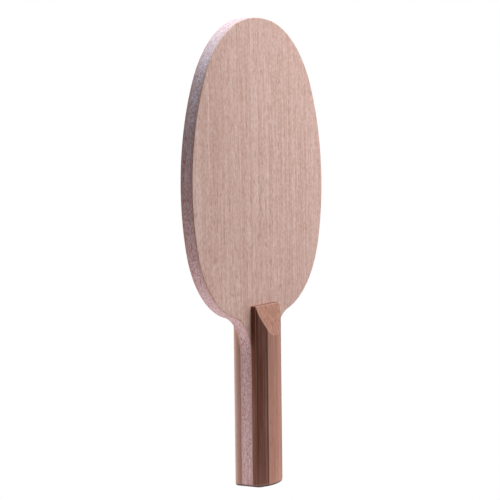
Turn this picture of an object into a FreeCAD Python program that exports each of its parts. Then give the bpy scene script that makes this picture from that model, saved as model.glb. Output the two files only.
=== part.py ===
import FreeCAD, Part
import math
import os
import Sketcher

# Bare wooden table tennis blade with a straight handle.
#
# Frame: origin in the middle of the handle's flat end, +Z up along the blade to
# the tip of the head, X across the width, front face towards -Y.
# Five plies run from the tip of the head to the handle's end.  A handle scale of
# darker wood is glued on each face of the stem: upright flanks, flat bevels, a
# low rounded crown, and a ramp that runs down to the head.

ORIGIN_PLANES = {"front": "XZ_Plane", "section": "XY_Plane", "side": "YZ_Plane"}
FRONT = -1
BACK = 1
# Two places closer than this count as the same, in millimetres
SAME_PLACE = 0.01

DIMENSIONS = [
    # Blade outline
    ("blade_height", 257.0, "tip of the head to the handle's end"),
    ("head_half_width", 75.0, "middle line to the widest place of the head"),
    ("widest_height", 166.0, "height of the widest place"),
    ("top_radius", 95.0, "arc over the tip of the head"),
    ("shoulder_radius", 66.0, "arc of the head's shoulders"),
    ("side_radius", 121.0, "arc of the head's sides"),
    ("corner_radius", 53.5, "arc of the head's lower corners"),
    ("underside_angle", 13.3, "slope of the head's underside, degrees"),
    ("neck_radius", 22.0, "hollow between the underside and the stem"),
    ("neck_height", 73.5, "height at which the hollow runs into the stem"),
    # Plies, from the middle of the blade outwards
    ("core_ply", 4.2, "thickness of the core"),
    ("medial_ply", 0.8, "thickness of each medial veneer"),
    ("face_ply", 0.7, "thickness of each outer veneer"),
    # Handle
    ("handle_half_width", 13.8, "middle line to the flank of the handle"),
    ("scale_length", 100.0, "length of each handle scale"),
    ("flank_top", 7.5, "middle of the blade to where flank and bevel would meet"),
    ("crown_half_width", 7.6, "middle line to the edge of the crown"),
    ("crown_edge", 10.45, "middle of the blade to the edge of the crown"),
    ("crown_top", 11.5, "middle of the blade to the top of the crown"),
    ("ramp_edge", 6.35, "middle of the blade to the ramp's upper edge"),
    ("ramp_length", 17.0, "length of the ramp at the scale's upper end"),
    ("arris_radius", 3.0, "rounding between flank and bevel"),
    ("crown_rounding", 1.4, "rounding between bevel and crown"),
    ("end_chamfer", 0.8, "eased edge round the handle's end"),
]


class Size:
    """A length, with the spreadsheet expression that it comes from."""

    def __init__(self, text, value):
        self.text = text
        self.value = value

    def __add__(self, other):
        return Size(f"({self.text} + {other.text})", self.value + other.value)

    def __sub__(self, other):
        return Size(f"({self.text} - {other.text})", self.value - other.value)

    def __mul__(self, number):
        return Size(f"({self.text} * {number})", self.value * number)


ZERO = Size("0 mm", 0.0)


def new_sheet(doc):
    """Write the driving dimensions into a spreadsheet, one alias to a row."""
    sheet = doc.addObject("Spreadsheet::Sheet", "dims")
    for row, (alias, value, note) in enumerate(DIMENSIONS, start=1):
        unit = "deg" if alias.endswith("angle") else "mm"
        sheet.set(f"A{row}", alias)
        sheet.set(f"B{row}", f"{value}")
        sheet.set(f"C{row}", f"{unit}, {note}")
        sheet.setAlias(f"B{row}", alias)
    doc.recompute()
    return sheet


def dim(doc, alias):
    """One driving dimension as a Size in millimetres."""
    return Size(f"(dims.{alias} * 1 mm)", float(doc.dims.get(alias)))


def new_body(doc, label):
    body = doc.addObject("PartDesign::Body", label)
    body.Label = label
    body.Placement = FreeCAD.Placement()
    return body


def new_sketch(body, view, name, offset=None):
    """A sketch on one of the body's own origin planes, moved along its normal."""
    planes = body.Origin.OriginFeatures
    plane = next(p for p in planes if p.Role == ORIGIN_PLANES[view])
    sketch = body.newObject("Sketcher::SketchObject", name)
    sketch.AttachmentSupport = [(plane, "")]
    sketch.MapMode = "FlatFace"
    if offset is not None:
        sketch.setExpression("AttachmentOffset.Base.z", offset.text)
    return sketch


def bind(sketch, kind, *where, size):
    """Add a dimensional constraint and drive it from the spreadsheet."""
    index = sketch.addConstraint(Sketcher.Constraint(kind, *where, size.value))
    sketch.setExpression(f"Constraints[{index}]", size.text)


def pin(sketch, line, end, point):
    """Fix one end of a line at a point given as two Sizes."""
    for kind, size in zip(("DistanceX", "DistanceY"), point):
        if size.value == 0:
            axis = -2 if kind == "DistanceX" else -1
            sketch.addConstraint(Sketcher.Constraint("PointOnObject", line, end, axis))
        else:
            bind(sketch, kind, -1, 1, line, end, size=size)


def closed_polygon(sketch, corners):
    """Straight lines through the corners, each corner pinned by its Sizes."""
    points = [FreeCAD.Vector(x.value, y.value, 0) for x, y in corners]
    count = len(points)
    for i in range(count):
        sketch.addGeometry(Part.LineSegment(points[i], points[(i + 1) % count]))
    for i in range(count):
        sketch.addConstraint(Sketcher.Constraint("Coincident", i, 2, (i + 1) % count, 1))
        pin(sketch, i, 1, corners[i])


def pad(body, sketch, length):
    feature = body.newObject("PartDesign::Pad", f"{body.Name}_pad")
    feature.Profile = sketch
    feature.setExpression("Length", length.text)
    sketch.Visibility = False
    return feature


def mirror_across_middle(body, feature):
    """Complete a half piece by its mirror image on the other side of X = 0."""
    planes = body.Origin.OriginFeatures
    middle = next(p for p in planes if p.Role == ORIGIN_PLANES["side"])
    mirrored = body.newObject("PartDesign::Mirrored", f"{body.Name}_mirrored")
    mirrored.Originals = [feature]
    mirrored.MirrorPlane = (middle, [""])
    body.Tip = mirrored
    return mirrored


# ---------------------------------------------------------------- blade plies


def arc_centres(doc):
    """Centres of the outline's tangent arcs and the direction of its underside."""
    value = {alias: float(doc.dims.get(alias)) for alias, _, _ in DIMENSIONS}
    top = FreeCAD.Vector(0, value["blade_height"] - value["top_radius"], 0)
    side = FreeCAD.Vector(
        value["head_half_width"] - value["side_radius"], value["widest_height"], 0
    )
    # The shoulder arc touches the top arc and the side arc from inside.
    reach_top = value["top_radius"] - value["shoulder_radius"]
    reach_side = value["side_radius"] - value["shoulder_radius"]
    between = side - top
    gap = between.Length
    along = (reach_top**2 - reach_side**2 + gap**2) / (2 * gap)
    across = math.sqrt(reach_top**2 - along**2)
    ahead = between / gap
    shoulder = top + ahead * along + FreeCAD.Vector(-ahead.y, ahead.x, 0) * -across
    if shoulder.x < top.x:
        shoulder = top + ahead * along + FreeCAD.Vector(-ahead.y, ahead.x, 0) * across
    # The underside is a straight line that the neck hollow touches from below.
    slope = math.radians(value["underside_angle"])
    run = FreeCAD.Vector(math.cos(slope), math.sin(slope), 0)
    rise = FreeCAD.Vector(-run.y, run.x, 0)
    neck = FreeCAD.Vector(
        value["handle_half_width"] + value["neck_radius"], value["neck_height"], 0
    )
    # The lower corner arc rests on that line and touches the side arc from inside.
    start = neck + rise * (value["neck_radius"] + value["corner_radius"])
    offset = start - side
    reach = value["side_radius"] - value["corner_radius"]
    half = offset.dot(run)
    corner = start + run * (-half + math.sqrt(half**2 - offset.dot(offset) + reach**2))
    return top, shoulder, side, corner, neck, rise


def half_outline(doc, sketch):
    """Right half of the blade's outline: five tangent arcs, the underside, the stem."""
    top, shoulder, side, corner, neck, rise = arc_centres(doc)
    top_radius = dim(doc, "top_radius")
    shoulder_radius = dim(doc, "shoulder_radius")
    side_radius = dim(doc, "side_radius")
    corner_radius = dim(doc, "corner_radius")
    neck_radius = dim(doc, "neck_radius")
    blade_height = dim(doc, "blade_height")
    half_stem = dim(doc, "handle_half_width")

    def angle_of(vector):
        return math.atan2(vector.y, vector.x)

    def arc(centre, radius, first, last):
        circle = Part.Circle(centre, FreeCAD.Vector(0, 0, 1), radius.value)
        sketch.addGeometry(Part.ArcOfCircle(circle, first, last))

    top_to_shoulder = angle_of(shoulder - top)
    shoulder_to_side = angle_of(shoulder - side)
    side_to_corner = angle_of(corner - side)
    corner_to_underside = angle_of(rise * -1)
    arc(top, top_radius, top_to_shoulder, math.pi / 2)
    arc(shoulder, shoulder_radius, shoulder_to_side, top_to_shoulder)
    arc(side, side_radius, side_to_corner, shoulder_to_side)
    arc(corner, corner_radius, corner_to_underside, side_to_corner)
    underside_in = neck + rise * neck_radius.value
    underside_out = corner - rise * corner_radius.value
    sketch.addGeometry(Part.LineSegment(underside_in, underside_out))
    arc(neck, neck_radius, angle_of(rise), math.pi)
    stem_top = FreeCAD.Vector(half_stem.value, neck.y, 0)
    stem_foot = FreeCAD.Vector(half_stem.value, 0, 0)
    foot = FreeCAD.Vector(0, 0, 0)
    tip = FreeCAD.Vector(0, blade_height.value, 0)
    sketch.addGeometry(Part.LineSegment(stem_top, stem_foot))
    sketch.addGeometry(Part.LineSegment(stem_foot, foot))
    sketch.addGeometry(Part.LineSegment(foot, tip))

    # Geometry numbers follow the order above; 1 is a start, 2 an end, 3 a centre.
    top_arc, shoulder_arc, side_arc, corner_arc, underside, neck_arc = range(6)
    stem_side, stem_end, middle_line = 6, 7, 8
    joints = [
        ("Tangent", top_arc, 1, shoulder_arc, 2),
        ("Tangent", shoulder_arc, 1, side_arc, 2),
        ("Tangent", side_arc, 1, corner_arc, 2),
        ("Tangent", corner_arc, 1, underside, 2),
        ("Tangent", underside, 1, neck_arc, 1),
        ("Tangent", neck_arc, 2, stem_side, 1),
        ("Coincident", stem_side, 2, stem_end, 1),
        ("Coincident", stem_end, 2, middle_line, 1),
        ("Coincident", middle_line, 2, top_arc, 2),
        ("Coincident", middle_line, 1, -1, 1),
        ("Vertical", stem_side),
        ("Horizontal", stem_end),
        ("Vertical", middle_line),
        ("PointOnObject", top_arc, 3, -2),
    ]
    for joint in joints:
        sketch.addConstraint(Sketcher.Constraint(*joint))
    radii = [
        (top_arc, top_radius),
        (shoulder_arc, shoulder_radius),
        (side_arc, side_radius),
        (corner_arc, corner_radius),
        (neck_arc, neck_radius),
    ]
    for curve, radius in radii:
        bind(sketch, "Radius", curve, size=radius)
    side_reach = side_radius - dim(doc, "head_half_width")
    bind(sketch, "DistanceX", side_arc, 3, -1, 1, size=side_reach)
    bind(sketch, "DistanceY", -1, 1, side_arc, 3, size=dim(doc, "widest_height"))
    bind(sketch, "DistanceY", -1, 1, neck_arc, 3, size=dim(doc, "neck_height"))
    bind(sketch, "DistanceX", -1, 1, stem_side, 2, size=half_stem)
    bind(sketch, "DistanceY", -1, 1, middle_line, 2, size=blade_height)
    slope = Size("(dims.underside_angle * 1 deg)", math.radians(doc.dims.underside_angle))
    bind(sketch, "Angle", underside, size=slope)


def ply(doc, label, inner, thickness):
    """One ply of the blade; inner is its inner face's distance towards the front."""
    body = new_body(doc, label)
    sketch = new_sketch(body, "front", f"{label}_outline", inner)
    half_outline(doc, sketch)
    half = pad(body, sketch, thickness)
    mirror_across_middle(body, half)
    doc.recompute()
    stem_side = dim(doc, "handle_half_width").value
    ease_end(doc, body, lambda x, y: x > stem_side - SAME_PLACE)
    return body


def blade_plies(doc):
    core = dim(doc, "core_ply")
    medial = dim(doc, "medial_ply")
    face = dim(doc, "face_ply")
    half_core = core * 0.5
    return [
        ply(doc, "core_ply_board", ZERO - half_core, core),
        ply(doc, "medial_veneer_front", half_core, medial),
        ply(doc, "medial_veneer_back", ZERO - half_core - medial, medial),
        ply(doc, "face_veneer_front", half_core + medial, face),
        ply(doc, "face_veneer_back", ZERO - half_core - medial - face, face),
    ]


# -------------------------------------------------------------- handle scales


def half_blade(doc):
    """Middle of the blade to the outside of its outer veneer."""
    return dim(doc, "core_ply") * 0.5 + dim(doc, "medial_ply") + dim(doc, "face_ply")


def crown_arc(doc, face, edge_point, top_point):
    """Arc of the crown from its edge to the middle line."""
    half = edge_point.x
    rise = abs(top_point.y - edge_point.y)
    radius = (half**2 + rise**2) / (2 * rise)
    centre = FreeCAD.Vector(0, top_point.y - face * radius, 0)
    circle = Part.Circle(centre, FreeCAD.Vector(0, 0, 1), radius)
    edge_angle = math.atan2(edge_point.y - centre.y, edge_point.x)
    top_angle = face * math.pi / 2
    return Part.ArcOfCircle(circle, min(edge_angle, top_angle), max(edge_angle, top_angle))


def half_section(doc, sketch, face):
    """Right half of a scale's section: glued face, flank, bevel and crown."""
    half_width = dim(doc, "handle_half_width")
    corners = [
        (ZERO, half_blade(doc) * face),
        (half_width, half_blade(doc) * face),
        (half_width, dim(doc, "flank_top") * face),
        (dim(doc, "crown_half_width"), dim(doc, "crown_edge") * face),
        (ZERO, dim(doc, "crown_top") * face),
    ]
    points = [FreeCAD.Vector(x.value, y.value, 0) for x, y in corners]
    glued, flank, bevel, crown, middle_line = range(5)
    for first, last in zip(points[:3], points[1:4]):
        sketch.addGeometry(Part.LineSegment(first, last))
    sketch.addGeometry(crown_arc(doc, face, points[3], points[4]))
    sketch.addGeometry(Part.LineSegment(points[4], points[0]))
    # The arc runs anticlockwise, so its ends swap between the two faces.
    crown_edge, crown_top = (1, 2) if face == BACK else (2, 1)
    joints = [
        ("Coincident", glued, 2, flank, 1),
        ("Coincident", flank, 2, bevel, 1),
        ("Coincident", bevel, 2, crown, crown_edge),
        ("Coincident", crown, crown_top, middle_line, 1),
        ("Coincident", middle_line, 2, glued, 1),
        ("PointOnObject", crown, 3, -2),
    ]
    for joint in joints:
        sketch.addConstraint(Sketcher.Constraint(*joint))
    pin(sketch, glued, 1, corners[0])
    pin(sketch, flank, 1, corners[1])
    pin(sketch, bevel, 1, corners[2])
    pin(sketch, bevel, 2, corners[3])
    pin(sketch, middle_line, 1, corners[4])


def upright_edges_near(shape, x, y):
    """Names of the two upright edges that stand at x, y and at -x, y."""
    names = []
    for number, edge in enumerate(shape.Edges, start=1):
        first, last = edge.Vertexes[0].Point, edge.Vertexes[-1].Point
        upright = math.hypot(first.x - last.x, first.y - last.y) < SAME_PLACE
        if upright and math.hypot(abs(first.x) - x, first.y - y) < SAME_PLACE:
            names.append(f"Edge{number}")
    if len(names) != 2:
        raise RuntimeError(f"{len(names)} upright edges at {x}, {y}")
    return names


def round_arrises(doc, body, face, edge_x, edge_y, radius):
    """Round the pair of long edges that stand at edge_x, edge_y."""
    solid = body.Tip
    names = upright_edges_near(solid.Shape, edge_x.value, edge_y.value * face)
    rounding = body.newObject("PartDesign::Fillet", f"{body.Name}_rounding")
    rounding.Base = (solid, names)
    rounding.setExpression("Radius", radius.text)
    doc.recompute()


def cut_ramp(doc, body, face):
    """Cut the slope that brings the scale down to the blade at its upper end."""
    length = dim(doc, "scale_length")
    low = dim(doc, "ramp_edge")
    high = dim(doc, "crown_top")
    ramp = dim(doc, "ramp_length")
    before = body.Shape.Volume
    sketch = new_sketch(body, "side", f"{body.Name}_ramp")
    # The wedge runs on beyond the crown along the ramp's own slope.
    corners = [
        (low * face, length),
        ((high * 2 - low) * face, length - ramp * 2),
        ((high * 2 - low) * face, length),
    ]
    closed_polygon(sketch, corners)
    pocket = body.newObject("PartDesign::Pocket", f"{body.Name}_ramp_cut")
    pocket.Profile = sketch
    pocket.Type = "ThroughAll"
    pocket.Midplane = True
    sketch.Visibility = False
    doc.recompute()
    if body.Shape.Volume >= before:
        raise RuntimeError(f"the ramp cuts nothing from {body.Label}")


def ease_end(doc, body, on_outside):
    """Chamfer the outer edges round the handle's end."""
    solid = body.Tip
    names = []
    for number, edge in enumerate(solid.Shape.Edges, start=1):
        if edge.BoundBox.ZMax > SAME_PLACE:
            continue
        middle = edge.valueAt((edge.FirstParameter + edge.LastParameter) / 2)
        if on_outside(abs(middle.x), abs(middle.y)):
            names.append(f"Edge{number}")
    if not names:
        raise RuntimeError(f"{body.Label} has no outer edge at the handle's end")
    chamfer = body.newObject("PartDesign::Chamfer", f"{body.Name}_end")
    chamfer.Base = (solid, names)
    chamfer.setExpression("Size", dim(doc, "end_chamfer").text)
    doc.recompute()


def handle_scale(doc, label, face):
    """One scale: half its section padded and mirrored, then rounded and cut."""
    body = new_body(doc, label)
    sketch = new_sketch(body, "section", f"{label}_section")
    half_section(doc, sketch, face)
    half = pad(body, sketch, dim(doc, "scale_length"))
    mirror_across_middle(body, half)
    doc.recompute()
    width = dim(doc, "handle_half_width")
    crown_width = dim(doc, "crown_half_width")
    round_arrises(doc, body, face, width, dim(doc, "flank_top"), dim(doc, "arris_radius"))
    round_arrises(doc, body, face, crown_width, dim(doc, "crown_edge"), dim(doc, "crown_rounding"))
    cut_ramp(doc, body, face)
    glued_face = half_blade(doc).value
    ease_end(doc, body, lambda x, y: y > glued_face + SAME_PLACE)
    return body


def handle_scales(doc):
    return [
        handle_scale(doc, "handle_scale_front", FRONT),
        handle_scale(doc, "handle_scale_back", BACK),
    ]


# --------------------------------------------------------------------- output


def check(doc, bodies):
    """Stop on any object in error and on any piece that isn't one sound solid."""
    for item in doc.Objects:
        if {"Invalid", "Error"} & set(item.State):
            raise RuntimeError(f"{item.Label} is in state {item.State}")
    for body in bodies:
        shape = body.Shape
        if shape.isNull() or not shape.isValid() or len(shape.Solids) != 1:
            raise RuntimeError(f"{body.Label} is not one sound solid")


def main():
    doc = FreeCAD.newDocument("table_tennis_blade")
    new_sheet(doc)
    bodies = blade_plies(doc) + handle_scales(doc)
    doc.recompute()
    check(doc, bodies)
    os.makedirs("parts", exist_ok=True)
    for body in bodies:
        body.Shape.exportStep(os.path.join("parts", f"{body.Label}.step"))
        box = body.Shape.BoundBox
        print(f"{body.Label}: {box.XLength:.2f} x {box.YLength:.2f} x {box.ZLength:.2f} mm")


main()
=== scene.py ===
import math

import bmesh
import bpy
from mathutils import Matrix, Vector


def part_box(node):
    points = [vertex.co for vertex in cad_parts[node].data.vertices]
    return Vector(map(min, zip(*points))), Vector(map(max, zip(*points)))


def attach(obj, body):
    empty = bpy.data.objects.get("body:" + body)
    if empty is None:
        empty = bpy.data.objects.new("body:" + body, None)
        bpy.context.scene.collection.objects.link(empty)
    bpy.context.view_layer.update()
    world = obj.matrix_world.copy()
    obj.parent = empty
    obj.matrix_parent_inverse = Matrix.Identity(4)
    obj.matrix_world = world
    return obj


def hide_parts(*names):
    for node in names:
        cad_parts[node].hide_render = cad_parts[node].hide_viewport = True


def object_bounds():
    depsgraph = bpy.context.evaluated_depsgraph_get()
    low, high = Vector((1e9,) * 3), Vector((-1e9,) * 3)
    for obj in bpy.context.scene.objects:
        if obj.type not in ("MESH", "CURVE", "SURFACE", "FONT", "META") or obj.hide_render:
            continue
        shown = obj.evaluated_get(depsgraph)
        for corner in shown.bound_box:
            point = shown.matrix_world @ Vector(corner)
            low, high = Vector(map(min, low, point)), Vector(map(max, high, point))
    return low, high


# A bare wooden table tennis blade, standing on the end of its straight handle.
# Shapes are worked out in millimetres and written to the meshes in metres.
# X is across the width, Y through the thickness with the front at -Y, Z up the blade.

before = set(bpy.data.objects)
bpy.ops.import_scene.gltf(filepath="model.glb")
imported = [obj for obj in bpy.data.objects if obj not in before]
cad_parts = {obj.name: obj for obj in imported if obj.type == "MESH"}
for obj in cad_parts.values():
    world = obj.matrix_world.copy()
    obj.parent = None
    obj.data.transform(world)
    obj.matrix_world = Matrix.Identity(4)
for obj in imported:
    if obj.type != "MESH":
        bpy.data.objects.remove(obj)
cad_low, cad_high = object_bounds()

MM = 0.001


def box_mm(node):
    """Lowest and highest corner of a node, in millimetres."""
    low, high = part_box(node)
    return Vector(low) / MM, Vector(high) / MM


BLADE_HIGH = box_mm("core_ply_board")[1]
SCALE_LOW, SCALE_HIGH = box_mm("handle_scale_back")

# Blade outline, seen from the front: tangent arcs, symmetric about x = 0
BLADE_HEIGHT = BLADE_HIGH.z
HEAD_HALF_WIDTH = BLADE_HIGH.x
STEM_HALF_WIDTH = SCALE_HIGH.x
WIDEST_HEIGHT = 166.0
TOP_RADIUS = 95.0
SHOULDER_RADIUS = 66.0
SIDE_RADIUS = 121.0
CORNER_RADIUS = 53.5
UNDERSIDE_SLOPE = math.radians(13.3)
NECK_RADIUS = 22.0
NECK_HEIGHT = 73.5
END_ROUNDING = 1.3

# Section of a handle scale: upright flank, flat bevel, low rounded crown
BLADE_FACE = SCALE_LOW.y
CROWN_TOP = SCALE_HIGH.y
SCALE_LENGTH = SCALE_HIGH.z
FLANK_TOP = 7.5
CROWN_HALF_WIDTH = 7.6
CROWN_EDGE = 10.45
RAMP_TOP = 6.35
RAMP_LENGTH = 17.0
ARRIS_RADIUS = 3.0
CROWN_ROUNDING = 1.4

# How far the flats of a scale stay clear of the corners beside them
FLANK_FOOT = 0.4
FLANK_HEAD = 2.3
BEVEL_MARGIN = 0.5
# The same for the crown, as an angle in radians
CROWN_MARGIN = 0.01

# Edges softened by sanding, and the nearly sharp ones along the glue lines
FACE_EDGE = 0.32
GLUE_EDGE = 0.05
RAMP_EDGE = 0.30
RIDGE_BLEND = 0.12
# Extra points in the section round the ramp's ridge, counted in ridge blends
RIDGE_STEPS = (-1.0, 0.0, 1.0, 2.5)

# Wear is 1 on fully rubbed edges and fades to 0 over this distance on the flats; on the handle it also
# carries a painted highlight
WEAR_FADE = 0.5
END_WEAR = 0.55
RIDGE_WEAR_AND_HIGHLIGHT = 0.55
RIDGE_HIGHLIGHT_REACH = 1.5 * RIDGE_BLEND
RAMP_WEAR_AND_HIGHLIGHT = 0.35
# The ramp's edge gets full wear and painted highlight where it faces more than this share sideways
RAMP_SIDEWAYS = 2 / 3

# Points closer than these count as one
SAME_POINT = 1e-4
SAME_LEVEL = 0.02


# ------------------------------------------------------------------ geometry


def polar(angle):
    return Vector((math.cos(angle), math.sin(angle)))


def angle_of(vector):
    return math.atan2(vector.y, vector.x)


def arc(centre, radius, first, last, spacing=1.0, hollow=False):
    """Points along an arc, each with the direction that leads out of the wood."""
    count = max(3, math.ceil(abs(last - first) * radius / spacing))
    side = -1.0 if hollow else 1.0
    points = []
    for i in range(count + 1):
        out = polar(first + (last - first) * i / count)
        points.append((centre + out * radius, out * side))
    return points


def joined(*stretches):
    """One list of points from stretches that share their end points."""
    points = []
    for stretch in stretches:
        for point, out in stretch:
            if not points or (point - points[-1][0]).length > SAME_POINT:
                points.append((point, out))
    return points


def half_outline():
    """Right half of the blade's outline, from the tip of the head to the foot."""
    top = Vector((0.0, BLADE_HEIGHT - TOP_RADIUS))
    side = Vector((HEAD_HALF_WIDTH - SIDE_RADIUS, WIDEST_HEIGHT))
    # The shoulder arc touches the top arc and the side arc from inside.
    reach_top = TOP_RADIUS - SHOULDER_RADIUS
    reach_side = SIDE_RADIUS - SHOULDER_RADIUS
    between = side - top
    gap = between.length
    along = (reach_top**2 - reach_side**2 + gap**2) / (2 * gap)
    across = math.sqrt(reach_top**2 - along**2)
    ahead = between / gap
    square = Vector((-ahead.y, ahead.x))
    shoulder = max((top + ahead * along + square * s for s in (across, -across)), key=lambda p: p.x)
    # The underside is a straight line that the neck hollow touches from below.
    run = polar(UNDERSIDE_SLOPE)
    rise = Vector((-run.y, run.x))
    neck = Vector((STEM_HALF_WIDTH + NECK_RADIUS, NECK_HEIGHT))
    # The lower corner arc rests on that line and touches the side arc from inside.
    start = neck + rise * (NECK_RADIUS + CORNER_RADIUS)
    offset = start - side
    half = offset.dot(run)
    reach = SIDE_RADIUS - CORNER_RADIUS
    corner = start + run * (-half + math.sqrt(half**2 - offset.length_squared + reach**2))

    top_end = angle_of(shoulder - top)
    shoulder_end = angle_of(shoulder - side)
    side_end = angle_of(corner - side)
    corner_end = angle_of(-rise)
    foot = Vector((STEM_HALF_WIDTH - END_ROUNDING, END_ROUNDING))
    return joined(
        arc(top, TOP_RADIUS, math.pi / 2, top_end),
        arc(shoulder, SHOULDER_RADIUS, top_end, shoulder_end),
        arc(side, SIDE_RADIUS, shoulder_end, side_end),
        arc(corner, CORNER_RADIUS, side_end, corner_end),
        arc(neck, NECK_RADIUS, angle_of(rise), math.pi, hollow=True),
        arc(foot, END_ROUNDING, 0.0, -math.pi / 2, spacing=0.25),
    )


def mirrored_loop(half):
    """A closed loop from its right half; an end on the middle line isn't doubled."""
    left = [(Vector((-point.x, point.y)), Vector((-out.x, out.y))) for point, out in reversed(half)]
    if abs(half[0][0].x) < SAME_POINT:
        left = left[:-1]
    if abs(half[-1][0].x) < SAME_POINT:
        left = left[1:]
    return half + left


def rounded_edge(radius, steps=4):
    """Pairs (inset, depth) round an edge, from the rim to the face."""
    pairs = []
    for i in range(steps + 1):
        turn = math.pi / 2 * i / steps
        pairs.append((radius * (1 - math.cos(turn)), radius * (1 - math.sin(turn))))
    return pairs


def finish_mesh(name, bm, material):
    """A smooth-shaded piece, whose large flat faces lead the shading of small ones."""
    bmesh.ops.recalc_face_normals(bm, faces=bm.faces)
    mesh = bpy.data.meshes.new(name)
    bm.to_mesh(mesh)
    bm.free()
    mesh.materials.append(material)
    for polygon in mesh.polygons:
        polygon.use_smooth = True
    piece = bpy.data.objects.new(name, mesh)
    bpy.context.scene.collection.objects.link(piece)
    weighted = piece.modifiers.new("flat_faces_lead", "WEIGHTED_NORMAL")
    weighted.mode = "FACE_AREA"
    weighted.weight = 80
    weighted.keep_sharp = True
    return piece


def fit_to_frame(piece, node):
    """Puts the piece in the root body and hides the CAD node that it replaces."""
    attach(piece, "root")
    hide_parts(node)


def bridge(bm, lower, upper):
    """A band of faces between two rings of vertices."""
    count = len(lower)
    for i in range(count):
        j = (i + 1) % count
        bm.faces.new((lower[i], lower[j], upper[j], upper[i]))


def ply_profile(low, high, low_edge, high_edge):
    """Rings (inset, y, wear) from one face of a ply over its rim to the other."""
    rings = [(low_edge + WEAR_FADE, low, 0.0)]
    for inset, depth in reversed(rounded_edge(low_edge)):
        rings.append((inset, low + depth, 1.0))
    # A rim that is high enough is unworn along its middle.
    middle_low = low + low_edge + WEAR_FADE / 2
    middle_high = high - high_edge - WEAR_FADE / 2
    if middle_low < middle_high:
        rings.append((0.0, middle_low, 0.0))
        rings.append((0.0, middle_high, 0.0))
    for inset, depth in rounded_edge(high_edge):
        rings.append((inset, high - depth, 1.0))
    rings.append((high_edge + WEAR_FADE, high, 0.0))
    return rings


def ply(node, name, material, front_edge, back_edge):
    """A ply that follows the blade's outline, with its edges sanded round."""
    low, high = box_mm(node)
    outline = mirrored_loop(half_outline())
    bm = bmesh.new()
    wear = bm.verts.layers.float.new("wear")
    rings = []
    for inset, y, worn in ply_profile(low.y, high.y, front_edge, back_edge):
        ring = []
        for point, out in outline:
            place = point - out * inset
            vertex = bm.verts.new(Vector((place.x, y, place.y)) * MM)
            vertex[wear] = worn
            ring.append(vertex)
        rings.append(ring)
    for lower, upper in zip(rings, rings[1:]):
        bridge(bm, lower, upper)
    bm.faces.new(rings[0])
    bm.faces.new(list(reversed(rings[-1])))
    piece = finish_mesh(name, bm, material)
    fit_to_frame(piece, node)


def nearest_on_line(point, origin, direction):
    """Foot of the perpendicular from a point to a line."""
    return origin + direction * (point - origin).dot(direction)


def corner_arc(before, corner, after, radius, steps):
    """Rounding of a corner between two straight lines, as points with outward directions."""
    first = (before - corner).normalized()
    second = (after - corner).normalized()
    half = first.angle(second) / 2
    centre = corner + (first + second).normalized() * (radius / math.sin(half))
    start = nearest_on_line(centre, corner, first) - centre
    end = nearest_on_line(centre, corner, second) - centre
    turn = math.atan2(start.cross(end), start.dot(end))
    base = angle_of(start)
    points = []
    for i in range(steps + 1):
        out = polar(base + turn * i / steps)
        points.append((centre + out * radius, out))
    return points


def half_section():
    """Right half of a scale's section: seam, flank, bevel, crown, up to the middle."""
    outward = Vector((1.0, 0.0))
    upward = Vector((0.0, 1.0))
    seam = Vector((STEM_HALF_WIDTH, BLADE_FACE))
    arris = Vector((STEM_HALF_WIDTH, FLANK_TOP))
    crown_edge = Vector((CROWN_HALF_WIDTH, CROWN_EDGE))
    # The crown is one arc over both its edges and its top.
    rise = CROWN_TOP - CROWN_EDGE
    radius = (CROWN_HALF_WIDTH**2 + rise**2) / (2 * rise)
    centre = Vector((0.0, CROWN_TOP - radius))
    edge_angle = angle_of(crown_edge - centre)
    along_crown = Vector((-math.sin(edge_angle), math.cos(edge_angle)))

    seam_edge = [(seam - outward * GLUE_EDGE, outward), (seam + upward * GLUE_EDGE, outward)]
    flank = [(seam + upward * FLANK_FOOT, outward), (arris - upward * FLANK_HEAD, outward)]
    arris_arc = corner_arc(seam, arris, crown_edge, ARRIS_RADIUS, steps=14)
    crown_corner = corner_arc(arris, crown_edge, crown_edge + along_crown, CROWN_ROUNDING, steps=6)
    first, bevel_out = arris_arc[-1]
    last = crown_corner[0][0]
    margin = (last - first).normalized() * BEVEL_MARGIN
    bevel = [(first + margin, bevel_out), (last - margin, bevel_out)]
    crown_start = angle_of(crown_corner[-1][0] - centre) + CROWN_MARGIN
    crown = arc(centre, radius, crown_start, math.pi / 2, spacing=0.8)
    return joined(seam_edge, flank, arris_arc, bevel, crown_corner, crown)


def with_ridge_points(half):
    """The half section, with extra points where the ramp's ridge crosses it."""
    section = []
    for (here, out), (there, out_there) in zip(half, half[1:]):
        section.append((here, out))
        for step in RIDGE_STEPS:
            y = RAMP_TOP + step * RIDGE_BLEND
            if here.y + SAME_LEVEL < y < there.y - SAME_LEVEL:
                share = (y - here.y) / (there.y - here.y)
                section.append((here.lerp(there, share), out.lerp(out_there, share).normalized()))
    section.append(half[-1])
    return section


def ramp_height(y):
    """Height of the scale's upper end above a place in its section."""
    slope = RAMP_LENGTH / (CROWN_TOP - RAMP_TOP)
    beyond = y - RAMP_TOP
    if beyond < -RIDGE_BLEND:
        return SCALE_LENGTH
    if beyond < RIDGE_BLEND:
        return SCALE_LENGTH - slope * (beyond + RIDGE_BLEND) ** 2 / (4 * RIDGE_BLEND)
    return SCALE_LENGTH - slope * beyond


def ramp_wear_and_highlight(y, out, worn):
    """Wear and painted highlight of the scale's upper end: most on its ridge and on its side edges."""
    edge = worn * min(1.0, abs(out.x) / RAMP_SIDEWAYS)
    if abs(y - RAMP_TOP) < RIDGE_HIGHLIGHT_REACH:
        return max(edge, RIDGE_WEAR_AND_HIGHLIGHT)
    return edge


def lower_levels():
    """Rings round the handle's rounded end, as (inset, height above the end, wear)."""
    edge = [(inset, depth, END_WEAR) for inset, depth in reversed(rounded_edge(END_ROUNDING, steps=6))]
    return [(END_ROUNDING + WEAR_FADE, 0.0, 0.0)] + edge + [(0.0, END_ROUNDING + WEAR_FADE, 0.0)]


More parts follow.
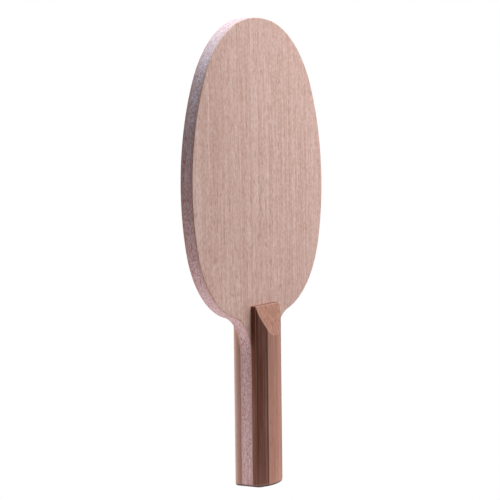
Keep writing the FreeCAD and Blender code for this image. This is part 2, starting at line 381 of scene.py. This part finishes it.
def upper_levels():
    """Rings round the ramp's edge, as (inset, depth below the ramp, wear)."""
    edge = [(inset, depth, RAMP_WEAR_AND_HIGHLIGHT) for inset, depth in rounded_edge(RAMP_EDGE)]
    return [(0.0, RAMP_EDGE + WEAR_FADE, 0.0)] + edge + [(RAMP_EDGE + WEAR_FADE, 0.0, 0.0)]


def add_ring(bm, loop, face, level, at_ramp):
    """One ring of a scale; its level counts up from the end, or down from the ramp."""
    inset, away, worn = level
    wear = bm.verts.layers.float["wear"]
    cut = bm.verts.layers.float["cut"]
    ring = []
    for point, out in loop:
        place = point - out * inset
        # The glued side stays flat.
        place.y = max(place.y, BLADE_FACE)
        z = ramp_height(place.y) - away if at_ramp else away
        vertex = bm.verts.new(Vector((place.x, place.y * face, z)) * MM)
        vertex[wear] = ramp_wear_and_highlight(place.y, out, worn) if at_ramp else worn
        vertex[cut] = 1.0 if at_ramp and away == 0.0 else 0.0
        ring.append(vertex)
    return ring


def close_across(bm, ring, half_count):
    """Closes an end with faces from side to side; the halves of the ring share one middle point."""
    last = len(ring) - 1
    for i in range(half_count - 1):
        corners = [ring[i], ring[i + 1], ring[last - i - 1], ring[last - i]]
        if corners[1] is corners[2]:
            corners.pop(1)
        bm.faces.new(corners)


def scale_piece(node, name, material, face):
    """A handle scale: its section carried up from the rounded end to the ramp."""
    section = with_ridge_points(half_section())
    loop = mirrored_loop(section)
    bm = bmesh.new()
    bm.verts.layers.float.new("wear")
    bm.verts.layers.float.new("cut")
    rings = [add_ring(bm, loop, face, level, at_ramp=False) for level in lower_levels()]
    rings += [add_ring(bm, loop, face, level, at_ramp=True) for level in upper_levels()]
    for below, above in zip(rings, rings[1:]):
        bridge(bm, below, above)
    close_across(bm, rings[0], len(section))
    close_across(bm, rings[-1], len(section))
    piece = finish_mesh(name, bm, material)
    fit_to_frame(piece, node)


# ----------------------------------------------------------------- materials


FACE_COLOUR = (0.796, 0.514, 0.440)
FACE_PORE = (0.549, 0.333, 0.279)
FACE_EDGE_COLOUR = (0.378, 0.211, 0.171)
CORE_COLOUR = (0.652, 0.427, 0.440)
CORE_SPARK = (0.788, 0.595, 0.622)
MEDIAL_COLOUR = (0.666, 0.396, 0.396)
HANDLE_COLOUR = (0.572, 0.281, 0.216)
# Dark of the handle's pores, also used for painted shade on the lower handle
HANDLE_PORE_AND_LOW_SHADE = (0.117, 0.041, 0.027)
# Paler colour of the handle's worn edges, also a painted highlight on its edges and ramp ridge
HANDLE_WEAR_AND_HIGHLIGHT = (0.612, 0.423, 0.351)
# The stain, its golden streaks, painted shade on its upper part under the head, and a painted shade line
# along its border
HANDLE_STAIN = (0.261, 0.121, 0.093)
HANDLE_GOLD = (0.297, 0.135, 0.086)
HANDLE_HEAD_SHADE = (0.171, 0.058, 0.036)
HANDLE_EDGE_SHADE = (0.135, 0.036, 0.031)
# The rear scale's flanks, from the outside down to the glue line
# Lighter on the outside of the rear flanks, browner towards the glue line
REAR_FLANK_OUTER = (0.675, 0.422, 0.360)
REAR_FLANK_INNER = (0.414, 0.234, 0.198)
# The ramp's slanting cut shows the wood browner, with open ends of fibres
CUT_TINT = (1.00, 0.98, 0.90)
CUT_FIBRES = (0.306, 0.135, 0.090)
# Painted contact shade on the foot's edge, where the blade meets the floor
FOOT_SHADE_COLOUR = (0.032, 0.013, 0.013)
# Dark grain is also a stronger colour: how far red, green and blue swing
GRAIN_TINT = (1.0, 1.75, 2.1)

# Heights over which painted contact shade covers the foot, and over which painted shade darkens the lower
# handle
FOOT_SHADE_FULL = 0.55
FOOT_SHADE_CLEAR = 1.7
LOW_SHADE_FULL = 12.0
LOW_SHADE_CLEAR = 42.0
# Depths under the blade's face where the face veneer's rim turns into sawn wood
SAWN_START = 0.02
SAWN_FULL = 0.15
# Distances sideways from the crown's edge: the stain's soft border, the middles of the painted shade band
# outside it and of the painted highlight band inside it, and the place where the bevel turns into the
# flank
STAIN_BLUR = 0.15
EDGE_BAND_MIDDLE = 0.6
EDGE_SHADE_HALF_WIDTH = 0.7
HIGHLIGHT_HALF_WIDTH = 0.6
FLANK_START = 4.8
FLANK_FULL = 5.4
# Painted shade under the head: the stain is painted darker on the front scale's flanks, towards the head
HEAD_SHADE_Y_CLEAR = -8.0
HEAD_SHADE_Y_FULL = -6.8
HEAD_SHADE_Z_CLEAR = 48.0
HEAD_SHADE_Z_FULL = 88.0
# Depths below the scale's upper end over which the front scale is darkened to the stain's colour
END_DARK_CLEAR = 0.25
END_DARK_FULL = 0.05
# A place is fully front or fully back from this distance off the middle of the thickness
SIDE_BLEND = 1.0


class Finish:
    """A procedural wood, built from a few kinds of node."""

    def __init__(self, name):
        self.material = bpy.data.materials.new(name)
        self.material.use_nodes = True
        self.tree = self.material.node_tree
        self.shader = self.tree.nodes["Principled BSDF"]
        coordinates = self.tree.nodes.new("ShaderNodeTexCoord")
        self.place = self.scaled(coordinates.outputs["Object"], (1 / MM, 1 / MM, 1 / MM))
        axes = self.tree.nodes.new("ShaderNodeSeparateXYZ")
        self.put(axes.inputs[0], self.place)
        self.x = axes.outputs["X"]
        self.y = axes.outputs["Y"]
        self.z = axes.outputs["Z"]

    def put(self, socket, value):
        """Links another node's socket, or sets a constant."""
        if isinstance(value, bpy.types.NodeSocket):
            self.tree.links.new(value, socket)
        else:
            socket.default_value = value

    def scaled(self, vector, factors, shift=(0.0, 0.0, 0.0)):
        node = self.tree.nodes.new("ShaderNodeVectorMath")
        node.operation = "MULTIPLY_ADD"
        self.put(node.inputs[0], vector)
        node.inputs[1].default_value = factors
        node.inputs[2].default_value = shift
        return node.outputs[0]

    def noise(self, grain, detail=2.0, rough=0.5, shift=(0.0, 0.0, 0.0)):
        """Noise whose grains are about `grain` = (x, y, z) millimetres in size."""
        node = self.tree.nodes.new("ShaderNodeTexNoise")
        factors = tuple(1.0 / size for size in grain)
        self.put(node.inputs["Vector"], self.scaled(self.place, factors, shift))
        node.inputs["Scale"].default_value = 1.0
        node.inputs["Detail"].default_value = detail
        node.inputs["Roughness"].default_value = rough
        return node.outputs["Fac"]

    def math(self, operation, a, b=0.0):
        node = self.tree.nodes.new("ShaderNodeMath")
        node.operation = operation
        self.put(node.inputs[0], a)
        self.put(node.inputs[1], b)
        return node.outputs[0]

    def times(self, a, b):
        return self.math("MULTIPLY", a, b)

    def opposite(self, mask):
        return self.math("SUBTRACT", 1.0, mask)

    def span(self, value, low, high, to_low=0.0, to_high=1.0):
        """Value between low and high, brought smoothly to another range."""
        node = self.tree.nodes.new("ShaderNodeMapRange")
        node.interpolation_type = "SMOOTHSTEP"
        self.put(node.inputs["Value"], value)
        node.inputs["From Min"].default_value = low
        node.inputs["From Max"].default_value = high
        node.inputs["To Min"].default_value = to_low
        node.inputs["To Max"].default_value = to_high
        return node.outputs["Result"]

    def band(self, value, middle, half_width):
        """One in the middle of a band of the value, falling to nothing at its edges."""
        away = self.math("ABSOLUTE", self.math("SUBTRACT", value, middle))
        return self.span(away, half_width, 0.0)

    def mix(self, share, first, second, blend="MIX"):
        node = self.tree.nodes.new("ShaderNodeMix")
        node.data_type = "RGBA"
        node.blend_type = blend
        self.put(node.inputs[0], share)
        for socket, value in ((node.inputs[6], first), (node.inputs[7], second)):
            self.put(socket, (*value, 1.0) if isinstance(value, tuple) else value)
        return node.outputs[2]

    def coat(self, colour, over, where, share):
        """The colour, covered by another up to a share of it where the mask is one."""
        return self.mix(self.times(where, share), colour, over)

    def together(self, parts):
        """Weighted sum of noises, each counted from its middle, around 0.5."""
        total = 0.5
        for noise, weight in parts:
            node = self.tree.nodes.new("ShaderNodeMath")
            node.operation = "MULTIPLY_ADD"
            self.put(node.inputs[0], self.math("SUBTRACT", noise, 0.5))
            node.inputs[1].default_value = weight
            self.put(node.inputs[2], total)
            total = node.outputs[0]
        return total

    def shades(self, colour, grain, spread):
        """The colour, darker where the grain is below 0.5 and lighter above."""
        dark = tuple(c * (1 - spread * t) for c, t in zip(colour, GRAIN_TINT))
        light = tuple(c * (1 + spread * t) for c, t in zip(colour, GRAIN_TINT))
        return self.mix(grain, dark, light)

    def layer(self, name):
        """A value carried by the mesh's vertices: wear, or the ramp's cut."""
        node = self.tree.nodes.new("ShaderNodeAttribute")
        node.attribute_name = name
        return node.outputs["Fac"]

    def foot(self, colour):
        """The colour, with painted contact shade on the edge that the blade stands on."""
        return self.coat(colour, FOOT_SHADE_COLOUR, self.span(self.z, FOOT_SHADE_CLEAR, FOOT_SHADE_FULL), share=0.9)

    def bump(self, height, depth, below=None):
        """Relief from a height between 0 and 1, depth in millimetres."""
        node = self.tree.nodes.new("ShaderNodeBump")
        node.inputs["Strength"].default_value = 1.0
        node.inputs["Distance"].default_value = depth * MM
        self.put(node.inputs["Height"], height)
        if below is not None:
            self.put(node.inputs["Normal"], below)
        return node.outputs["Normal"]

    def finish(self, colour, roughness, normal, specular=0.15):
        self.put(self.shader.inputs["Base Color"], colour)
        self.put(self.shader.inputs["Roughness"], roughness)
        self.put(self.shader.inputs["Normal"], normal)
        self.shader.inputs["Specular IOR Level"].default_value = specular
        return self.material


def face_wood():
    """Pale outer veneer: fine straight grain, short darker pores, slow bands."""
    wood = Finish("outer_veneer_finish")
    lines = wood.noise((1.6, 1.6, 120.0), detail=0, shift=(40.0, 0.0, 4.0))
    threads = wood.noise((1.3, 1.3, 15.0), detail=0, shift=(5.0, 0.0, 1.0))
    dashes = wood.noise((1.0, 1.0, 1.6), detail=0, shift=(11.0, 0.0, 7.0))
    slow = wood.noise((14.0, 14.0, 240.0), detail=2, shift=(3.1, 0.0, 1.7))
    grain = wood.together([(lines, 0.7), (threads, 0.55), (dashes, 0.9), (slow, 0.3)])
    pore_cells = wood.noise((1.2, 1.2, 5.0), detail=0, shift=(7.0, 0.0, 2.0))
    pore_bands = wood.noise((4.0, 4.0, 60.0), detail=1, shift=(1.0, 5.0, 0.0))
    pores = wood.times(wood.span(pore_cells, 0.60, 0.72), wood.span(pore_bands, 0.40, 0.60, 0.3, 1.0))
    sawn = wood.span(wood.math("ABSOLUTE", wood.y), BLADE_FACE - SAWN_START, BLADE_FACE - SAWN_FULL)
    colour = wood.shades(FACE_COLOUR, grain, spread=0.155)
    colour = wood.coat(colour, FACE_PORE, pores, share=0.6)
    colour = wood.coat(colour, FACE_EDGE_COLOUR, wood.layer("wear"), share=0.10)
    colour = wood.coat(colour, FACE_EDGE_COLOUR, sawn, share=0.35)
    relief = wood.bump(grain, 0.03)
    relief = wood.bump(wood.opposite(pores), 0.05, relief)
    return wood.finish(wood.foot(colour), wood.span(grain, 0.2, 0.8, 0.65, 0.56), relief)


def core_wood():
    """Light lilac-grey core: sparkling speckles, longer along the grain."""
    wood = Finish("core_finish")
    speckle = wood.noise((0.62, 0.62, 1.45), detail=0)
    streaks = wood.noise((0.8, 0.8, 16.0), detail=1, shift=(4.0, 2.0, 0.0))
    sparks = wood.noise((0.8, 0.8, 1.0), detail=0, shift=(9.0, 4.0, 3.0))
    slow = wood.noise((5.0, 3.0, 30.0), detail=2, shift=(0.0, 9.0, 0.0))
    grain = wood.together([(speckle, 1.7), (streaks, 1.1), (slow, 0.3)])
    colour = wood.shades(CORE_COLOUR, grain, spread=0.23)
    colour = wood.coat(colour, CORE_SPARK, wood.span(sparks, 0.66, 0.80), share=0.6)
    return wood.finish(wood.foot(colour), wood.span(grain, 0.2, 0.8, 0.68, 0.58), wood.bump(grain, 0.06))


def medial_wood():
    """Veneers between core and face, with their grain across the blade."""
    wood = Finish("inner_veneer_finish")
    fibres = wood.noise((9.0, 0.5, 0.5), detail=1)
    speckle = wood.noise((1.0, 0.6, 1.3), detail=1, shift=(2.0, 0.0, 6.0))
    grain = wood.together([(speckle, 1.3), (fibres, 0.8)])
    colour = wood.shades(MEDIAL_COLOUR, grain, spread=0.36)
    return wood.finish(wood.foot(colour), wood.span(grain, 0.2, 0.8, 0.65, 0.5), wood.bump(grain, 0.05))


def stain(wood, grain, beyond):
    """The dark stain with golden streaks, painted darker towards the head as shade, and with a painted
    shade line at the crown's edge.
    """
    golden = wood.noise((2.0, 2.0, 190.0), detail=0, shift=(29.6, 1.0, 0.0))
    on_flank = wood.span(wood.y, HEAD_SHADE_Y_CLEAR, HEAD_SHADE_Y_FULL)
    # Painted shade from the head on the upper part of the front flanks
    upper = wood.times(on_flank, wood.span(wood.z, HEAD_SHADE_Z_CLEAR, HEAD_SHADE_Z_FULL))
    # Painted shade in a thin band just outside the crown's edge
    edge_shade = wood.band(beyond, EDGE_BAND_MIDDLE, EDGE_SHADE_HALF_WIDTH)
    colour = wood.shades(HANDLE_STAIN, grain, spread=0.40)
    colour = wood.coat(colour, HANDLE_GOLD, wood.span(golden, 0.56, 0.70), share=0.55)
    colour = wood.mix(upper, colour, wood.shades(HANDLE_HEAD_SHADE, grain, spread=0.40))
    return wood.coat(colour, HANDLE_EDGE_SHADE, edge_shade, share=0.75)


def ramp_cut(wood, colour, cut):
    """The ramp's slanting cut: the same wood, browner, with short dark ends of fibres."""
    cells = wood.noise((0.9, 0.9, 7.0), detail=1, shift=(3.0, 0.0, 5.0))
    fibre_ends = wood.times(cut, wood.span(cells, 0.42, 0.66))
    colour = wood.mix(cut, colour, CUT_TINT, "MULTIPLY")
    return wood.coat(colour, CUT_FIBRES, fibre_ends, share=0.50)


def handle_wood():
    """Light red-brown wood with straight streaks, stained dark on the front scale's flanks and bevels."""
    wood = Finish("handle_finish")
    streaks = wood.noise((3.4, 3.4, 150.0), detail=2, shift=(2.0, 0.0, 0.4))
    threads = wood.noise((1.5, 1.5, 70.0), detail=0, shift=(6.0, 3.0, 0.0))
    fibres = wood.noise((0.8, 0.8, 22.0), detail=2, rough=0.6)
    pores = wood.span(wood.noise((0.7, 0.7, 4.0), detail=1, shift=(1.0, 0.0, 3.0)), 0.58, 0.72)
    strong_grain = wood.together([(streaks, 1.0), (threads, 1.0), (fibres, 0.9)])
    soft_grain = wood.together([(streaks, 0.7), (threads, 0.5), (fibres, 0.9)])
    cut = wood.layer("cut")
    front = wood.span(wood.y, 0.0, -SIDE_BLEND)
    back = wood.span(wood.y, 0.0, SIDE_BLEND)
    front_uncut = wood.times(wood.opposite(cut), front)
    # Distance sideways beyond the crown's edges, below zero on the crown itself
    beyond = wood.math("SUBTRACT", wood.math("ABSOLUTE", wood.x), CROWN_HALF_WIDTH)
    colour = wood.shades(HANDLE_COLOUR, soft_grain, spread=0.22)
    # The rear scale stays light, and its flanks are browner towards the glue line
    rear_flank_tone = wood.mix(wood.span(wood.y, BLADE_FACE, FLANK_TOP), REAR_FLANK_INNER, REAR_FLANK_OUTER)
    rear_flank = wood.times(wood.span(beyond, FLANK_START, FLANK_FULL), back)
    colour = wood.mix(rear_flank, colour, rear_flank_tone)
    # On the front scale the stain covers all but the ramp and the crown, whose edges get a painted
    # highlight in a paler colour
    stained = wood.times(wood.span(beyond, -STAIN_BLUR, STAIN_BLUR), front_uncut)
    colour = wood.mix(stained, colour, stain(wood, strong_grain, beyond))
    # Painted highlight along the inside of the crown's edges
    crown_edge_highlight = wood.times(wood.band(beyond, -EDGE_BAND_MIDDLE, HIGHLIGHT_HALF_WIDTH), front_uncut)
    colour = wood.coat(colour, HANDLE_WEAR_AND_HIGHLIGHT, crown_edge_highlight, share=0.16)
    colour = ramp_cut(wood, colour, cut)
    upper_end = wood.span(wood.z, SCALE_LENGTH - END_DARK_CLEAR, SCALE_LENGTH - END_DARK_FULL)
    # The front scale's upper end is darkened
    colour = wood.coat(colour, HANDLE_STAIN, wood.times(upper_end, front), share=0.8)
    # Painted shade: the handle is darkened towards its lower end
    colour = wood.coat(colour, HANDLE_PORE_AND_LOW_SHADE, wood.span(wood.z, LOW_SHADE_CLEAR, LOW_SHADE_FULL), share=0.12)
    colour = wood.coat(colour, HANDLE_PORE_AND_LOW_SHADE, pores, share=0.2)
    # Rubbed edges, painted paler as wear and as highlight
    colour = wood.coat(colour, HANDLE_WEAR_AND_HIGHLIGHT, wood.layer("wear"), share=0.8)
    relief = wood.bump(fibres, 0.02)
    relief = wood.bump(wood.opposite(pores), 0.05, relief)
    return wood.finish(wood.foot(colour), wood.span(streaks, 0.3, 0.7, 0.55, 0.65), relief, specular=0.07)


# ------------------------------------------------------- camera, light, floor


# Angles in degrees: azimuth 0 = front (-Y), 90 = right (+X). Distances in metres.
CAMERA_AZIMUTH = -61.437
CAMERA_ELEVATION = 3.860
CAMERA_ROLL = -0.688
CAMERA_DISTANCE = 0.95448
CAMERA_AIM = Vector((-1.72, 3.15, 129.83)) * MM
CAMERA_LENS = 124.42
CAMERA_SENSOR = 36.0

LIGHT_DISTANCE = 0.75
LIGHT_SIZE = 0.39
WHITE = (1.0, 1.0, 1.0)
# Name, azimuth, elevation, radiance, tint and width as a share of the height
LIGHTS = [
    ("light_top_right", 90.0, 75.0, 6.7, WHITE, 1.0),
    ("light_top_front", 0.0, 75.0, 3.5, WHITE, 1.0),
    ("light_top_back", 180.0, 75.0, 7.7, (0.41, 0.82, 1.00), 1.0),
    ("light_front_right", 38.0, 40.0, 6.9, WHITE, 1.0),
    ("light_right", 70.0, 5.0, 4.7, WHITE, 1.0),
    ("light_back", 160.0, 40.0, 4.3, WHITE, 1.0),
    ("light_low_back", -160.0, 5.0, 3.3, (1.0, 0.82, 0.75), 1.44),
]

FLOOR_HALF = 6.0
FLOOR_DROP = 0.0002
GLOW_CENTRE = (-0.12, 0.11, 0.0)
GLOW_INNER = 0.08
GLOW_OUTER = 0.36
GLOW_STRENGTH = 1.32


def direction(azimuth, elevation):
    """Unit vector from the object towards an azimuth and elevation in degrees."""
    a, e = math.radians(azimuth), math.radians(elevation)
    return Vector((math.sin(a) * math.cos(e), -math.cos(a) * math.cos(e), math.sin(e)))


def make_camera():
    back = direction(CAMERA_AZIMUTH, CAMERA_ELEVATION)
    data = bpy.data.cameras.new("camera")
    data.lens = CAMERA_LENS
    data.sensor_width = CAMERA_SENSOR
    data.clip_start = 0.05
    data.clip_end = 50.0
    camera = bpy.data.objects.new("camera", data)
    bpy.context.scene.collection.objects.link(camera)
    camera.location = CAMERA_AIM + back * CAMERA_DISTANCE
    turn = (-back).to_track_quat("-Z", "Y").to_matrix()
    roll = Matrix.Rotation(math.radians(CAMERA_ROLL), 3, "Z")
    camera.rotation_euler = (turn @ roll).to_euler()
    bpy.context.scene.camera = camera


def softbox(name, azimuth, elevation, radiance, tint, share):
    """A rectangular soft light that faces the middle of the blade."""
    data = bpy.data.lights.new(name, "AREA")
    data.shape = "RECTANGLE"
    data.size = LIGHT_SIZE * share
    data.size_y = LIGHT_SIZE
    data.energy = radiance * math.pi * data.size * data.size_y
    data.color = tint
    light = bpy.data.objects.new(name, data)
    bpy.context.scene.collection.objects.link(light)
    target = Vector((0.0, 0.0, (cad_low[2] + cad_high[2]) / 2))
    towards = direction(azimuth, elevation)
    light.location = target + towards * LIGHT_DISTANCE
    light.rotation_euler = towards.to_track_quat("Z", "Y").to_euler()
    light.visible_camera = False


def surround():
    """White to look at, without lighting anything."""
    world = bpy.data.worlds.new("surround")
    bpy.context.scene.world = world
    world.use_nodes = True
    tree = world.node_tree
    seen = tree.nodes.new("ShaderNodeLightPath")
    background = tree.nodes["Background"]
    background.inputs["Color"].default_value = (*WHITE, 1.0)
    tree.links.new(seen.outputs["Is Camera Ray"], background.inputs["Strength"])


def floor_material():
    """White to look at; as a light it glows round the blade and fades out further away."""
    material = bpy.data.materials.new("floor")
    material.use_nodes = True
    tree = material.node_tree
    tree.nodes.clear()
    output = tree.nodes.new("ShaderNodeOutputMaterial")
    emission = tree.nodes.new("ShaderNodeEmission")
    place = tree.nodes.new("ShaderNodeTexCoord")
    distance = tree.nodes.new("ShaderNodeVectorMath")
    distance.operation = "DISTANCE"
    distance.inputs[1].default_value = GLOW_CENTRE
    tree.links.new(place.outputs["Object"], distance.inputs[0])
    glow = tree.nodes.new("ShaderNodeMapRange")
    glow.interpolation_type = "SMOOTHSTEP"
    glow.inputs["From Min"].default_value = GLOW_INNER
    glow.inputs["From Max"].default_value = GLOW_OUTER
    glow.inputs["To Min"].default_value = GLOW_STRENGTH
    glow.inputs["To Max"].default_value = 0.0
    tree.links.new(distance.outputs["Value"], glow.inputs["Value"])
    seen = tree.nodes.new("ShaderNodeLightPath")
    strength = tree.nodes.new("ShaderNodeMix")
    tree.links.new(seen.outputs["Is Camera Ray"], strength.inputs[0])
    tree.links.new(glow.outputs["Result"], strength.inputs[2])
    strength.inputs[3].default_value = 1.0
    tree.links.new(strength.outputs[0], emission.inputs["Strength"])
    tree.links.new(emission.outputs[0], output.inputs["Surface"])
    return material


def floor():
    """A pale floor just under the blade's foot."""
    mesh = bpy.data.meshes.new("floor")
    signs = ((-1, -1), (1, -1), (1, 1), (-1, 1))
    corners = [(FLOOR_HALF * x, FLOOR_HALF * y, 0) for x, y in signs]
    mesh.from_pydata(corners, [], [(0, 1, 2, 3)])
    mesh.materials.append(floor_material())
    piece = bpy.data.objects.new("floor", mesh)
    bpy.context.scene.collection.objects.link(piece)
    piece.location.z = -FLOOR_DROP


def build_blade():
    face = face_wood()
    medial = medial_wood()
    core = core_wood()
    handle = handle_wood()
    ply("core_ply_board", "core_board", core, GLUE_EDGE, GLUE_EDGE)
    ply("medial_veneer_front", "inner_veneer_front", medial, GLUE_EDGE, GLUE_EDGE)
    ply("medial_veneer_back", "inner_veneer_back", medial, GLUE_EDGE, GLUE_EDGE)
    ply("face_veneer_front", "outer_veneer_front", face, FACE_EDGE, GLUE_EDGE)
    ply("face_veneer_back", "outer_veneer_back", face, GLUE_EDGE, FACE_EDGE)
    scale_piece("handle_scale_front", "scale_front", handle, -1)
    scale_piece("handle_scale_back", "scale_back", handle, 1)


bpy.context.scene.view_settings.view_transform = "Standard"
make_camera()
surround()
floor()
for light in LIGHTS:
    softbox(*light)
build_blade()
